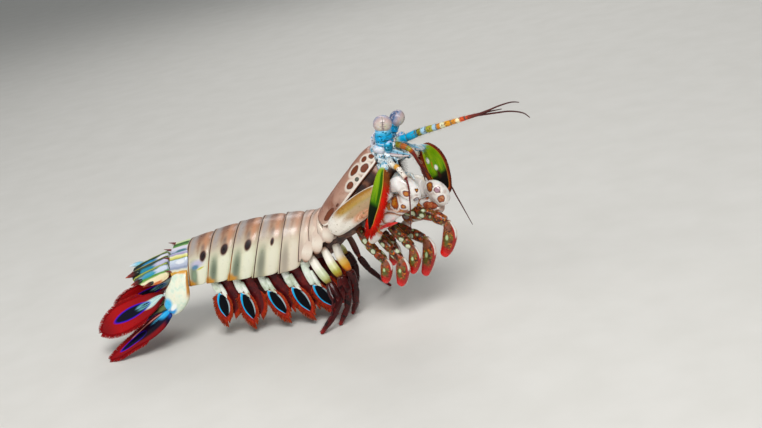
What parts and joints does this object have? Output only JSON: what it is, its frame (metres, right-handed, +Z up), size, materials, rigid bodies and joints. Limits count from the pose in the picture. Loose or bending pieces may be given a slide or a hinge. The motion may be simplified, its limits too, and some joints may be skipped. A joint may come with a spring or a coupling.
{
  "type": "mantis shrimp",
  "caption": "Peacock mantis shrimp, life size, standing on legs and tail fan with its raised front turned aside, claws folded and feelers held forward.",
  "frame": {"origin": "middle of the bounding box on the floor the animal stands on", "axes": "+X towards the head, +Y to the animal's left, +Z up; the raised front is turned about 28 degrees to the animal's right"},
  "size_m": [0.219, 0.075, 0.0995],
  "materials": {
    "body_shell": "glossy, hard shell",
    "carapace_shell": "glossy, hard shell",
    "thorax_skin": "soft, matt skin",
    "head_shell": "glossy, hard shell",
    "eye_cornea": "smooth, pearly",
    "feeler_shell": "glossy, jointed",
    "scale_shell": "glossy blade with a bristly rim",
    "claw_shell": "glossy, hard shell",
    "dactyl_shell": "glossy, hard shell",
    "maxilliped_shell": "glossy, hard shell",
    "leg_shell": "glossy, thin shell",
    "pleopod_shell": "thin flaps with a bristly rim",
    "tail_shell": "glossy, keeled shell",
    "fan_shell": "glossy blades with a bristly rim"
  },
  "bodies": {
    "root": {"abdomen_1": "body_shell", "abdomen_2": "body_shell", "abdomen_3": "body_shell", "abdomen_4": "body_shell", "abdomen_5": "body_shell", "abdomen_6": "tail_shell", "antenna_L": "feeler_shell", "antenna_R": "feeler_shell", "antennal_scale_L": "scale_shell", "antennal_scale_R": "scale_shell", "antennule_L": "feeler_shell", "antennule_R": "feeler_shell", "carapace": "carapace_shell", "eye_L": "eye_cornea", "eye_R": "eye_cornea", "eyestalk_L": "head_shell", "eyestalk_R": "head_shell", "head": "head_shell", "maxilliped_3_L": "maxilliped_shell", "maxilliped_3_R": "maxilliped_shell", "maxilliped_4_L": "maxilliped_shell", "maxilliped_4_R": "maxilliped_shell", "maxilliped_5_L": "maxilliped_shell", "maxilliped_5_R": "maxilliped_shell", "mouthparts": "head_shell", "pleopod_1_L": "pleopod_shell", "pleopod_1_R": "pleopod_shell", "pleopod_2_L": "pleopod_shell", "pleopod_2_R": "pleopod_shell", "pleopod_3_L": "pleopod_shell", "pleopod_3_R": "pleopod_shell", "pleopod_4_L": "pleopod_shell", "pleopod_4_R": "pleopod_shell", "pleopod_5_L": "pleopod_shell", "pleopod_5_R": "pleopod_shell", "raptorial_dactyl_L": "dactyl_shell", "raptorial_dactyl_R": "dactyl_shell", "raptorial_merus_L": "claw_shell", "raptorial_merus_R": "claw_shell", "raptorial_propodus_L": "claw_shell", "raptorial_propodus_R": "claw_shell", "rostral_plate": "head_shell", "telson": "tail_shell", "thorax_6": "body_shell", "thorax_7": "body_shell", "thorax_8": "body_shell", "thorax_core": "thorax_skin", "uropod_endopod_L": "fan_shell", "uropod_endopod_R": "fan_shell", "uropod_exopod_L": "fan_shell", "uropod_exopod_R": "fan_shell", "uropod_protopod_L": "tail_shell", "uropod_protopod_R": "tail_shell", "walking_leg_6_L": "leg_shell", "walking_leg_6_R": "leg_shell", "walking_leg_7_L": "leg_shell", "walking_leg_7_R": "leg_shell", "walking_leg_8_L": "leg_shell", "walking_leg_8_R": "leg_shell"}
  },
  "joints": []
}
